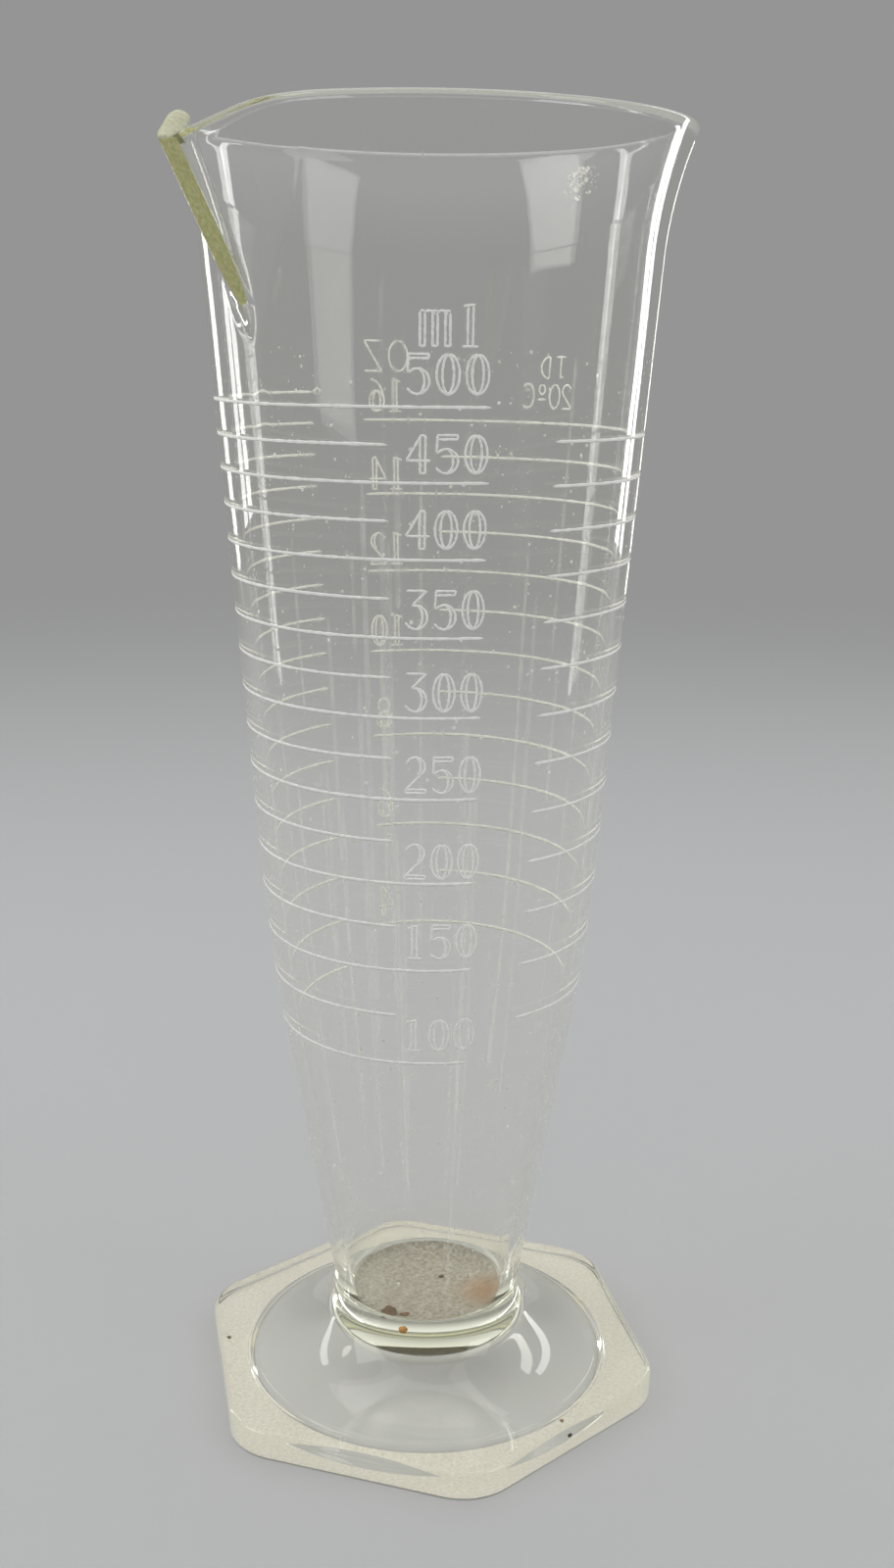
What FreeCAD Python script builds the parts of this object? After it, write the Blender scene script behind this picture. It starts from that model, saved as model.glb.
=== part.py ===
# Conical graduated glass, 500 ml and 16 fl oz, blown and pressed in one piece.
# Millimetres. Origin on the axis, on the plane that the foot rests on; +Z up.
# The spout points to -X, above one corner of the hexagonal foot.
import FreeCAD, Part
import math
import os
import Sketcher
from FreeCAD import Vector

doc = FreeCAD.newDocument("graduate")

# Driving dimensions
SIZES = [
    ("TotalHeight", 250.0),
    ("FootAcrossFlats", 91.2),
    ("FootCornerRadius", 13.0),
    ("PlateHeight", 6.2),
    ("PlateEdgeBreak", 1.0),
    ("RestEdgeBreak", 0.4),
    ("RestRingWidth", 6.1),
    ("PlateLedge", 4.6),
    ("FlareBend", 28.0),
    ("NeckRingBend", 8.2),
    ("NeckRadius", 20.1),
    ("NeckBend", 49.4),
    ("KneeRadius", 32.2),
    ("KneeHeight", 99.1),
    ("MouthFlareHeight", 22.0),
    ("MouthFlare", 5.3),
    ("RimRadius", 46.4),
    ("RimBreak", 1.0),
    ("FloorHeight", 19.0),
    ("FloorCorner", 2.0),
    ("FloorWall", 3.6),
    ("KneeWall", 2.9),
    ("ConeTopWall", 2.4),
    ("RimWall", 2.5),
    ("HollowLipHeight", 1.5),
    ("HollowLipDraft", 0.7),
    ("HollowTopRadius", 17.0),
    ("HollowDepth", 10.8),
    ("SpoutOverhang", 8.8),
    ("SpoutTipDrop", 6.2),
    ("SpoutLean", 29.6),
    ("SpoutHalfAngle", 37.0),
    ("SpoutNoseRadius", 5.6),
    ("SpoutHalfWidth", 15.0),
    ("SpoutWall", 2.6),
    ("SpoutRoot", 1.9),
    ("SpoutBlend", 6.0),
    ("ChannelBlend", 8.0),
    ("SpoutLipAngle", 30.0),
    ("LipCutInset", 1.9),
    ("LipCutAngle", 31.0),
    ("LipCutBend", 14.0),
    ("SpineGrind", 0.55),
]
sheet = doc.addObject("Spreadsheet::Sheet", "Sizes")
for row, (name, value) in enumerate(SIZES, start=1):
    sheet.set("A%d" % row, name)
    sheet.set("B%d" % row, str(value))
    sheet.setAlias("B%d" % row, name)
doc.recompute()

body = doc.addObject("PartDesign::Body", "Graduate")
body.Label = "graduate"


def size(name):
    """A size from the sheet, as a number."""
    return float(sheet.get(name))


def new_sketch(name, role):
    """A sketch on one of the body's own origin planes."""
    plane = [item for item in body.Origin.OriginFeatures if item.Role == role][0]
    sketch = body.newObject("Sketcher::SketchObject", name)
    sketch.AttachmentSupport = (plane, [""])
    sketch.MapMode = "FlatFace"
    return sketch


def bind(sketch, constraint, expression):
    """Add a dimension and tie it to the sheet."""
    index = sketch.addConstraint(constraint)
    sketch.setExpression("Constraints[%d]" % index, expression)


def place(sketch, geo, pos, x_expression, y_expression):
    """Tie one point of a sketch to a place worked out from the sheet."""
    point = sketch.getPoint(geo, pos)
    bind(sketch, Sketcher.Constraint("DistanceX", geo, pos, point.x), x_expression)
    bind(sketch, Sketcher.Constraint("DistanceY", geo, pos, point.y), y_expression)


def end_near(sketch, geo, point):
    """The end of a curve that lies nearest to a point."""
    return min((1, 2), key=lambda pos: sketch.getPoint(geo, pos).distanceToPoint(point))


def joint_ends(sketch, first, second):
    """The end of each of two curves that lies nearest to the other curve."""
    ends = [(p, q) for p in (1, 2) for q in (1, 2)]
    return min(ends, key=lambda e: sketch.getPoint(first, e[0]).distanceToPoint(sketch.getPoint(second, e[1])))


def closed_outline(sketch, curves, smooth=()):
    """Add curves end to end; the joints numbered in smooth are tangent."""
    start = sketch.GeometryCount
    for curve in curves:
        sketch.addGeometry(curve)
    for joint in range(len(curves)):
        first, second = start + joint, start + (joint + 1) % len(curves)
        p, q = joint_ends(sketch, first, second)
        kind = "Tangent" if joint in smooth else "Coincident"
        sketch.addConstraint(Sketcher.Constraint(kind, first, p, second, q))


def passes_through(sketch, point, x_expression, y_expression, geos):
    """A construction point, tied to the sheet, on which the lines geos are drawn."""
    mark = sketch.addGeometry(Part.Point(point), True)
    place(sketch, mark, 1, x_expression, y_expression)
    for geo in geos:
        sketch.addConstraint(Sketcher.Constraint("PointOnObject", mark, 1, geo))


def at(x, y):
    return Vector(x, y, 0)


def line(start, end):
    return Part.LineSegment(start, end)


def arc(start, heading, end):
    """The arc that leaves start along heading and reaches end."""
    chord = end - start
    halfway = Vector(heading).normalize() + Vector(chord).normalize()
    halfway.normalize()
    middle = start + halfway * (chord.Length / 2 / math.cos(halfway.getAngle(chord)))
    return Part.ArcOfCircle(start, middle, end)


def toward(start, end, distance):
    return start + (end - start).normalize() * distance


# Outside of the wall, the neck and the round part of the foot
height = size("TotalHeight")
plate = size("PlateHeight")
flare = size("FootAcrossFlats") / 2 - size("PlateLedge")
neck = size("NeckRadius")
rim = size("RimRadius")
knee = at(size("KneeRadius"), size("KneeHeight"))
cone_top = at(rim - size("MouthFlare"), height - size("MouthFlareHeight"))
FLARE = "Sizes.FootAcrossFlats / 2 - Sizes.PlateLedge"
CONE_TOP = ("Sizes.RimRadius - Sizes.MouthFlare", "Sizes.TotalHeight - Sizes.MouthFlareHeight")

foot_bend, ring_bend, neck_bend = size("FlareBend"), size("NeckRingBend"), size("NeckBend")
foot_centre = at(flare, plate + foot_bend)
drop = math.sqrt((foot_bend - ring_bend) ** 2 - (flare - neck - ring_bend) ** 2)
waist = at(neck, foot_centre.y - drop)
ring_centre = waist + at(ring_bend, 0)
flare_joint = toward(foot_centre, ring_centre, foot_bend)
neck_centre = waist + at(neck_bend, 0)
sight = knee - neck_centre
turn = math.atan2(sight.y, sight.x) + math.acos(neck_bend / sight.Length)
cone_low = neck_centre + at(math.cos(turn), math.sin(turn)) * neck_bend

outside = new_sketch("OutsideProfile", "XZ_Plane")
up_the_flare = at(flare_joint.y - foot_centre.y, foot_centre.x - flare_joint.x)
closed_outline(outside, [
    line(at(0, 0), at(flare, 0)),
    line(at(flare, 0), at(flare, plate)),
    arc(at(flare, plate), at(-1, 0), flare_joint),
    arc(flare_joint, up_the_flare, waist),
    arc(waist, at(0, 1), cone_low),
    line(cone_low, knee),
    line(knee, cone_top),
    arc(cone_top, cone_top - knee, at(rim, height)),
    line(at(rim, height), at(0, height)),
    line(at(0, height), at(0, 0)),
], smooth=(2, 3, 4, 6))
outside.addConstraint(Sketcher.Constraint("Coincident", 0, 1, -1, 1))
outside.addConstraint(Sketcher.Constraint("Horizontal", 0))
outside.addConstraint(Sketcher.Constraint("Vertical", 1))
outside.addConstraint(Sketcher.Constraint("Horizontal", 8))
outside.addConstraint(Sketcher.Constraint("Vertical", 9))
place(outside, 1, 2, FLARE, "Sizes.PlateHeight")
foot_end = end_near(outside, 2, at(flare, plate))
outside.addConstraint(Sketcher.Constraint("Vertical", 2, foot_end, 2, 3))
bind(outside, Sketcher.Constraint("Radius", 2, foot_bend), "Sizes.FlareBend")
bind(outside, Sketcher.Constraint("Radius", 3, ring_bend), "Sizes.NeckRingBend")
neck_end = end_near(outside, 3, waist)
outside.addConstraint(Sketcher.Constraint("Horizontal", 3, neck_end, 3, 3))
bind(outside, Sketcher.Constraint("DistanceX", 3, neck_end, neck), "Sizes.NeckRadius")
bind(outside, Sketcher.Constraint("Radius", 4, neck_bend), "Sizes.NeckBend")
place(outside, 5, 2, "Sizes.KneeRadius", "Sizes.KneeHeight")
place(outside, 6, 2, *CONE_TOP)
place(outside, 8, 1, "Sizes.RimRadius", "Sizes.TotalHeight")

wall = body.newObject("PartDesign::Revolution", "Wall")
wall.Profile = outside
wall.ReferenceAxis = (outside, ["V_Axis"])
wall.Angle = 360


def edge_names(shape, test):
    """Names of the edges of a shape that pass a test."""
    return ["Edge%d" % i for i, edge in enumerate(shape.Edges, start=1) if test(edge)]


def points_of(edge):
    """The two ends and the middle of an edge."""
    middle = edge.valueAt((edge.FirstParameter + edge.LastParameter) / 2)
    return [edge.Vertexes[0].Point, middle, edge.Vertexes[-1].Point]


def off_axis(point):
    return math.hypot(point.x, point.y)


def break_edges(kind, name, base, amount, test):
    """Fillet or chamfer the edges of base that pass a test, by an amount from the sheet."""
    edges = body.newObject("PartDesign::" + kind, name)
    edges.Base = (base, edge_names(base.Shape, test))
    edges.setExpression("Radius" if kind == "Fillet" else "Size", "Sizes." + amount)
    doc.recompute()
    return edges


# Hexagonal plate of the foot, one corner under the spout
hexagon = new_sketch("FootHexagon", "XY_Plane")
CORNER = "Sizes.FootAcrossFlats / 2 / cos(30 deg)"
corner = size("FootAcrossFlats") / 2 / math.cos(math.radians(30))
angles = [60 * side for side in range(6)]
corners = [at(math.cos(math.radians(a)), math.sin(math.radians(a))) * corner for a in angles]
closed_outline(hexagon, [line(corners[i], corners[(i + 1) % 6]) for i in range(6)])
for side, angle in enumerate(angles):
    place(hexagon, side, 1, "%s * cos(%d deg)" % (CORNER, angle), "%s * sin(%d deg)" % (CORNER, angle))

foot = body.newObject("PartDesign::Pad", "FootPlate")
foot.Profile = hexagon
foot.setExpression("Length", "Sizes.PlateHeight")
doc.recompute()


def is_foot_corner(edge):
    low, middle, high = points_of(edge)
    return abs(high.z - low.z) > plate / 2 and abs(off_axis(middle) - corner) < 0.01


def is_plate_rim(edge):
    return all(abs(p.z - plate) < 0.001 and off_axis(p) > flare + 1 for p in points_of(edge))


foot_corners = break_edges("Fillet", "FootCorners", foot, "FootCornerRadius", is_foot_corner)
plate_rim = break_edges("Chamfer", "PlateRim", foot_corners, "PlateEdgeBreak", is_plate_rim)

# Spout: a V pushed out of the wall along a straight leaning spine
lean = math.tan(math.radians(size("SpoutLean")))
reach = rim + size("SpoutOverhang")
tip = height - size("SpoutTipDrop")
slant = (cone_top.x - knee.x) / (cone_top.y - knee.y)
LEAN = "tan(Sizes.SpoutLean * 1 deg)"
REACH = "(Sizes.RimRadius + Sizes.SpoutOverhang)"
TIP = "(Sizes.TotalHeight - Sizes.SpoutTipDrop)"
SLANT = "((%s - Sizes.KneeRadius) / (%s - Sizes.KneeHeight))" % CONE_TOP
NOSE_AT = "-(%s + (%%s - %s) * %s)" % (REACH, TIP, LEAN)
DEEP_AT = "((%s - Sizes.KneeRadius + %%s + Sizes.KneeHeight * %s - %s * %s) / (%s - %s))" % (
    REACH, SLANT, TIP, LEAN, SLANT, LEAN)


def nose_x(z):
    """Where the nose of the spout stands at height z."""
    return -(reach + (z - tip) * lean)


def deep_at(depth):
    """Height at which the nose of the spout lies at a depth within the outside of the wall."""
    return (reach - knee.x + depth + knee.y * slant - tip * lean) / (slant - lean)


start = deep_at(size("SpoutRoot"))
START = DEEP_AT % "Sizes.SpoutRoot"


spine = new_sketch("SpoutSpine", "XZ_Plane")
spine.addGeometry(line(at(nose_x(start), start), at(nose_x(height), height)))
place(spine, 0, 1, NOSE_AT % START, START)
place(spine, 0, 2, NOSE_AT % "Sizes.TotalHeight", "Sizes.TotalHeight")


def spout_section(name, nose, nose_expression):
    """A V with a round nose, level, at the height where the spout starts."""
    section = new_sketch(name, "XY_Plane")
    section.setExpression(".AttachmentOffset.Base.z", START)
    half = math.radians(size("SpoutHalfAngle"))
    width = size("SpoutHalfWidth")
    centre = at(nose_x(start) + size("SpoutNoseRadius"), 0)
    side = centre + at(-math.sin(half), math.cos(half)) * nose
    back = at(side.x + (width - side.y) / math.tan(half), width)
    far_side, far_back = at(side.x, -side.y), at(back.x, -width)
    closed_outline(section, [
        Part.ArcOfCircle(side, centre - at(nose, 0), far_side),
        line(far_side, far_back),
        line(far_back, back),
        line(back, side),
    ], smooth=(0, 3))
    section.addConstraint(Sketcher.Constraint("PointOnObject", 0, 3, -1))
    bind(section, Sketcher.Constraint("DistanceX", 0, 3, centre.x),
         (NOSE_AT % START) + " + Sizes.SpoutNoseRadius")
    bind(section, Sketcher.Constraint("Radius", 0, nose), nose_expression)
    section.addConstraint(Sketcher.Constraint("Symmetric", 2, 1, 2, 2, -1))
    bind(section, Sketcher.Constraint("DistanceY", 2, 2, width), "Sizes.SpoutHalfWidth")
    bind(section, Sketcher.Constraint("Angle", 1, 1, 3, 2, 2 * half), "Sizes.SpoutHalfAngle * 2 deg")
    return section


spout = body.newObject("PartDesign::AdditivePipe", "Spout")
spout.Profile = spout_section("SpoutOutside", size("SpoutNoseRadius"), "Sizes.SpoutNoseRadius")
spout.Spine = (spine, ["Edge1"])
spout.Mode = "Fixed"
doc.recompute()


def crease_test(before):
    """Test for the edges up the side of the spout, where it leaves the surface of an earlier shape."""
    surface = before.Shells[0]
    old_edges = Part.makeCompound(before.Edges)

    def is_crease(edge):
        low, middle, high = points_of(edge)
        if middle.x > 0 or abs(high.z - low.z) < 0.5 or abs(middle.y) > size("SpoutHalfWidth"):
            return False
        on_surface = [surface.distToShape(Part.Vertex(p))[0] < 0.005 for p in (low, middle, high)]
        return all(on_surface) and old_edges.distToShape(Part.Vertex(middle))[0] > 0.005

    return is_crease


crease = break_edges("Fillet", "SpoutCrease", spout, "SpoutBlend", crease_test(plate_rim.Shape))

# Inside of the cup: floor, rounded corner, cone, knee and flared mouth
floor_z = size("FloorHeight")
floor_edge = at(neck - size("FloorWall"), floor_z)
inner_knee = knee - at(size("KneeWall"), 0)
inner_top = cone_top - at(size("ConeTopWall"), 0)
mouth = at(rim - size("RimWall"), height)
tilt = at(1, 0).getAngle(inner_knee - floor_edge)
corner_low = floor_edge - at(size("FloorCorner"), 0)
corner_high = floor_edge + at(size("FloorCorner") / math.tan(tilt), size("FloorCorner"))

inside = new_sketch("CavityProfile", "XZ_Plane")
closed_outline(inside, [
    line(at(0, floor_z), corner_low),
    line(corner_low, corner_high),
    line(corner_high, inner_knee),
    line(inner_knee, inner_top),
    arc(inner_top, inner_top - inner_knee, mouth),
    line(mouth, at(0, height)),
    line(at(0, height), at(0, floor_z)),
], smooth=(3,))
inside.addConstraint(Sketcher.Constraint("Horizontal", 5))
inside.addConstraint(Sketcher.Constraint("Vertical", 6))
place(inside, 0, 1, "0", "Sizes.FloorHeight")
place(inside, 0, 2, "Sizes.NeckRadius - Sizes.FloorWall - Sizes.FloorCorner", "Sizes.FloorHeight")
bind(inside, Sketcher.Constraint("DistanceY", 0, 2, 1, 2, size("FloorCorner")), "Sizes.FloorCorner")
passes_through(inside, floor_edge, "Sizes.NeckRadius - Sizes.FloorWall", "Sizes.FloorHeight", (2,))
place(inside, 2, 2, "Sizes.KneeRadius - Sizes.KneeWall", "Sizes.KneeHeight")
place(inside, 3, 2, CONE_TOP[0] + " - Sizes.ConeTopWall", CONE_TOP[1])
place(inside, 5, 1, "Sizes.RimRadius - Sizes.RimWall", "Sizes.TotalHeight")

cavity = body.newObject("PartDesign::Groove", "Cavity")
cavity.Profile = inside
cavity.ReferenceAxis = (inside, ["V_Axis"])
cavity.Angle = 360

# Inside of the spout, one wall within its outside
channel = body.newObject("PartDesign::SubtractivePipe", "SpoutChannel")
channel.Profile = spout_section("SpoutInside", size("SpoutNoseRadius") - size("SpoutWall"),
                                "Sizes.SpoutNoseRadius - Sizes.SpoutWall")
channel.Spine = (spine, ["Edge1"])
channel.Mode = "Fixed"
doc.recompute()
inner_crease = break_edges("Fillet", "ChannelCrease", channel, "ChannelBlend", crease_test(cavity.Shape))

# The lip of the spout is cut off on a slope that runs smoothly out of the flat top
fall = math.tan(math.radians(size("LipCutAngle")))
cut_from = at(size("LipCutInset") - rim, height)
beyond = -2 * reach
BEYOND = "-2 * " + REACH
slope_end = at(beyond, height + (beyond - cut_from.x) * fall)
bend_reach = size("LipCutBend") * math.tan(math.radians(size("LipCutAngle")) / 2)
bend_start, bend_end = cut_from + at(bend_reach, 0), toward(cut_from, slope_end, bend_reach)
slope = new_sketch("LipSlope", "XZ_Plane")
closed_outline(slope, [
    arc(bend_start, at(-1, 0), bend_end),
    line(bend_end, slope_end),
    line(slope_end, at(beyond, height)),
    line(at(beyond, height), bend_start),
], smooth=(0, 3))
slope.addConstraint(Sketcher.Constraint("Vertical", 2))
slope.addConstraint(Sketcher.Constraint("Horizontal", 3))
bind(slope, Sketcher.Constraint("Radius", 0, size("LipCutBend")), "Sizes.LipCutBend")
CUT_FROM = "Sizes.LipCutInset - Sizes.RimRadius"
passes_through(slope, cut_from, CUT_FROM, "Sizes.TotalHeight", (1, 3))
place(slope, 2, 1, BEYOND,
      "Sizes.TotalHeight + (%s - (%s)) * tan(Sizes.LipCutAngle * 1 deg)" % (BEYOND, CUT_FROM))


def cut_through(name, profile):
    """Cut a profile right through the spout, from side to side."""
    pocket = body.newObject("PartDesign::Pocket", name)
    pocket.Profile = profile
    pocket.Midplane = True
    pocket.setExpression("Length", "Sizes.SpoutHalfWidth * 4")
    doc.recompute()
    return pocket


lip_cut = cut_through("LipCut", slope)


# Both edges of the mouth are broken, all round except along the ground lip of the spout
edge_break = size("RimBreak")
breaks = new_sketch("MouthBreakProfile", "XZ_Plane")


def edge_wedge(edge, EDGE, side, sign):
    """A wedge over one edge of the mouth, deeper on the side where the wall falls away."""
    first = breaks.GeometryCount
    near, far = at(edge - side * edge_break, height), at(edge + side * edge_break, height)
    low = far - at(0, edge_break * 1.5)
    closed_outline(breaks, [line(near, low), line(low, far), line(far, near)])
    place(breaks, first, 1, "%s - %s Sizes.RimBreak" % (EDGE, sign), "Sizes.TotalHeight")
    place(breaks, first, 2, "%s + %s Sizes.RimBreak" % (EDGE, sign), "Sizes.TotalHeight - 1.5 * Sizes.RimBreak")
    place(breaks, first + 1, 2, "%s + %s Sizes.RimBreak" % (EDGE, sign), "Sizes.TotalHeight")


edge_wedge(rim, "Sizes.RimRadius", 1, "1 *")
edge_wedge(rim - size("RimWall"), "Sizes.RimRadius - Sizes.RimWall", -1, "-1 *")
mouth_breaks = body.newObject("PartDesign::Groove", "MouthBreaks")
mouth_breaks.Profile = breaks
mouth_breaks.ReferenceAxis = (breaks, ["V_Axis"])
mouth_breaks.Midplane = True
mouth_breaks.setExpression("Angle", "360 - 2 * Sizes.SpoutLipAngle")
doc.recompute()

# A flat ground along the nose of the spout
grind_z = deep_at(-size("SpineGrind"))
GRIND = DEEP_AT % "-Sizes.SpineGrind"
ground_low = at(nose_x(grind_z) + size("SpineGrind"), grind_z)
ground_high = at(nose_x(height) + size("SpineGrind"), height)
grind = new_sketch("SpineFlat", "XZ_Plane")
closed_outline(grind, [
    line(ground_low, ground_high),
    line(ground_high, at(beyond, height)),
    line(at(beyond, height), at(beyond, grind_z)),
    line(at(beyond, grind_z), ground_low),
])
place(grind, 0, 1, (NOSE_AT % GRIND) + " + Sizes.SpineGrind", GRIND)
place(grind, 0, 2, (NOSE_AT % "Sizes.TotalHeight") + " + Sizes.SpineGrind", "Sizes.TotalHeight")
grind.addConstraint(Sketcher.Constraint("Horizontal", 1))
grind.addConstraint(Sketcher.Constraint("Vertical", 2))
grind.addConstraint(Sketcher.Constraint("Horizontal", 3))
bind(grind, Sketcher.Constraint("DistanceX", 2, 1, beyond), BEYOND)
spine_flat = cut_through("SpineFlatCut", grind)

# Hollow pressed up into the underside of the foot, within the ground ring it rests on
RING = "(Sizes.FootAcrossFlats / 2 - Sizes.RestRingWidth)"
ring = size("FootAcrossFlats") / 2 - size("RestRingWidth")
lip = at(ring - size("HollowLipDraft"), size("HollowLipHeight"))
shoulder = at(size("HollowTopRadius"), size("HollowDepth"))
under = new_sketch("HollowProfile", "XZ_Plane")
closed_outline(under, [
    line(at(0, 0), at(ring, 0)),
    line(at(ring, 0), lip),
    line(lip, shoulder),
    line(shoulder, at(0, shoulder.y)),
    line(at(0, shoulder.y), at(0, 0)),
])
under.addConstraint(Sketcher.Constraint("Horizontal", 3))
place(under, 0, 1, "0", "0")
place(under, 0, 2, RING, "0")
place(under, 1, 2, RING + " - Sizes.HollowLipDraft", "Sizes.HollowLipHeight")
place(under, 2, 2, "Sizes.HollowTopRadius", "Sizes.HollowDepth")
bind(under, Sketcher.Constraint("DistanceX", 4, 1, 0), "0")

hollow = body.newObject("PartDesign::Groove", "FootHollow")
hollow.Profile = under
hollow.ReferenceAxis = (under, ["V_Axis"])
hollow.Angle = 360
doc.recompute()


def is_rest_edge(edge):
    """Runs round the outside of the foot, on the plane that it rests on."""
    return all(abs(p.z) < 0.001 and off_axis(p) > ring + 1 for p in points_of(edge))


rest_edge = break_edges("Chamfer", "RestEdge", hollow, "RestEdgeBreak", is_rest_edge)

for item in doc.Objects:
    if {"Invalid", "Error"} & set(item.State):
        raise RuntimeError("%s did not build: %s" % (item.Name, item.State))
if body.Shape.isNull() or not body.Shape.isValid() or len(body.Shape.Solids) != 1:
    raise RuntimeError("the graduate is not one valid solid")

os.makedirs("parts", exist_ok=True)
body.Shape.exportStep("parts/%s.step" % body.Label)
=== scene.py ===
import math

import bmesh
import bpy
import numpy as np
from mathutils import Matrix, Vector


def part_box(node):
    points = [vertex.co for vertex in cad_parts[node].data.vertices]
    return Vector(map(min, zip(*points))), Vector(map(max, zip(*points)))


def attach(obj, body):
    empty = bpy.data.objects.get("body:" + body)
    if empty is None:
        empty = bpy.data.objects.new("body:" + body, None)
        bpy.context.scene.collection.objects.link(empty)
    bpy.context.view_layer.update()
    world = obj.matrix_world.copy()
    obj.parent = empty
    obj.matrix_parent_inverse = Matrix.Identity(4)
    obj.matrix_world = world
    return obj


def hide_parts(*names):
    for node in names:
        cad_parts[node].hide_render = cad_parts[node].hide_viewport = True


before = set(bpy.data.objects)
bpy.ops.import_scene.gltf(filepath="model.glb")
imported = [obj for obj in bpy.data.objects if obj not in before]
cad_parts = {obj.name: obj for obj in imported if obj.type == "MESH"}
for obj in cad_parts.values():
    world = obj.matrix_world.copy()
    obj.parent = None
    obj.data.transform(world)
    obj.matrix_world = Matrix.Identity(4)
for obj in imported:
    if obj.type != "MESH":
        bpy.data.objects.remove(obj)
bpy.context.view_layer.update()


# The glass: one piece of clear soda glass with a faint yellow-green tint. The cup was blown, the
# six-sided foot was pressed, and the spout was drawn out of the hot rim, which was melted round.
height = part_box("graduate")[1].z

# the foot: the ring it rests on, the hollow inside the ring, the hexagon and the plate on it
rest_gap = 0.00004
rest_edge = 0.0005
ring_inner = 0.0395
ring_round = [(0.0391, 0.0009), (0.0394, 0.0003), (ring_inner + 0.0001, rest_gap)]
hollow_lip = (0.0388, 0.0015)
hollow_shoulder = (0.017, 0.0105)
hollow_bend = 0.04
hollow_top = 0.0115
foot_flat = 0.0456
foot_corner = 0.013
plate_height = 0.0062
plate_edge = 0.0012

# the flare, the neck and the outer wall
flare_foot = 0.041
flare_bend = 0.028
neck_radius = 0.0201
neck_ring_bend = 0.0082
neck_bend = 0.0494
knee = (0.0322, 0.0991)
knee_bend = 0.48
cone_top = (0.0411, 0.228)
rim_outer = 0.0464

# the floor of the cup, the inner wall and the rim
floor_height = 0.019
floor_radius = 0.0165
floor_corner = 0.0025
inner_low = (floor_radius, floor_height)
inner_knee = (0.0293, 0.0991)
inner_top = (0.0387, 0.228)
rim_inner = 0.0439
rim_round = 0.0011
above_corner = floor_height + floor_corner * 1.2
floor_middle = 0.002

# the spout: its trough, the slope of its lip and the flat along its spine
spout_start = 0.214
spout_reach = 0.0552
spout_tip = 0.2438
spout_lean = math.radians(29.6)
spout_half_angle = math.radians(37.0)
spout_wall = 0.0026
nose_outside = 0.0056
nose_inside = 0.003
outside_crease = 0.002
inside_crease = 0.0024
lip_cut_start = 0.0445
lip_cut_slope = math.tan(math.radians(31.0))
lip_cut_run = 0.0039
spine_grind = 0.00055
spine_start = 0.2206
spine_runout = 0.0012

# heights of the close rows at the knee, and where the wider rows below and above them end
knee_rows = np.linspace(0.08, 0.12, 11)
below_knee = 0.077
above_knee = 0.124


def column_angles():
    """Angles round the axis: 2 degrees apart, 0.8 near the six corners, 0.35 near the spout."""
    fine = 0.05
    degree = np.arange(0.0, 360.0, fine)
    to_corner = np.abs((degree + 30.0) % 60.0 - 30.0)
    from_spout = np.abs(degree - 180.0)
    step = np.where(to_corner < 12.0, 0.8, 2.0)
    step = np.where(from_spout < 21.0, 0.35, step)
    count = np.cumsum(fine / step)
    columns = int(round(count[-1]))
    return np.radians(np.interp(np.arange(columns) * count[-1] / columns, count, degree))


def arc(centre, radius, start, end, rows):
    """Points (r, z) on a circle: centre plus radius times (cos, sin) of an angle run."""
    angle = np.linspace(start, end, rows)
    return np.stack([centre[0] + radius * np.cos(angle), centre[1] + radius * np.sin(angle)], 1)


def bowed(start, end, bend, rows):
    """Points (r, z) from start to end: the chord plus the rise of a wide circle over it."""
    half = math.dist(start, end) / 2
    run = np.linspace(-1.0, 1.0, rows)
    share = (run + 1) / 2
    chord = np.outer(1 - share, start) + np.outer(share, end)
    rise = np.sqrt(bend ** 2 - (run * half) ** 2) - math.sqrt(bend ** 2 - half ** 2)
    across = np.array([end[1] - start[1], start[0] - end[0]])
    return chord + np.outer(rise, across / np.hypot(*across))


def cone_radius(z, low, middle, top, mouth_radius):
    """Radius of a wall: two cones that meet in a wide bend, then a circle out to the mouth."""
    lower = (middle[0] - low[0]) / (middle[1] - low[1])
    upper = (top[0] - middle[0]) / (top[1] - middle[1])
    bend_run = knee_bend * math.tan((math.atan(lower) - math.atan(upper)) / 2)
    along = z - middle[1]
    straight = middle[0] + np.where(along < 0, lower, upper) * along
    bend = np.clip(bend_run - np.abs(along), 0, None) ** 2 * (lower - upper) / (4 * bend_run)
    tangent = math.hypot(1.0, upper)
    reach = mouth_radius - top[0]
    rise = height - top[1]
    lip_bend = (reach ** 2 + rise ** 2) * tangent / (2 * (reach - rise * upper))
    centre_r = top[0] + lip_bend / tangent
    centre_z = top[1] - lip_bend * upper / tangent
    lip = centre_r - np.sqrt(np.clip(lip_bend ** 2 - (z - centre_z) ** 2, 0, None))
    return np.where(z > top[1], lip, straight - bend)


def outer_wall(z):
    """Radius of the outer wall away from the spout."""
    return cone_radius(z, neck_tangent, knee, cone_top, rim_outer)


def inner_wall(z):
    """Radius of the inner wall away from the spout."""
    return cone_radius(z, inner_low, inner_knee, inner_top, rim_inner)


def spine_tip(z):
    """How far the spine of the spout reaches from the axis before it is ground: a leaning line."""
    return spout_reach + (z - spout_tip) * math.tan(spout_lean)


def spout_radius(angle, z, nose):
    """Distance from the axis to a V trough that points to -X: two flats round a nose circle. The
    angle from a flat's middle is held under 1.5, where its distance is still finite."""
    side = np.abs(angle - math.pi)
    tip = spine_tip(z) - (spout_wall if nose < nose_outside else 0.0)
    centre = tip - nose
    lean = math.pi / 2 - spout_half_angle
    touch = np.arctan2(nose * math.sin(lean), centre + nose * math.cos(lean))
    flat = (centre * math.cos(lean) + nose) / np.cos(np.clip(side - lean, -1.5, 1.5))
    across = np.clip(nose ** 2 - (centre * np.sin(side)) ** 2, 0, None)
    cap = centre * np.cos(side) + np.sqrt(across)
    return np.where(side < touch, cap, np.where(side < lean, flat, 0.0))


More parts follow.
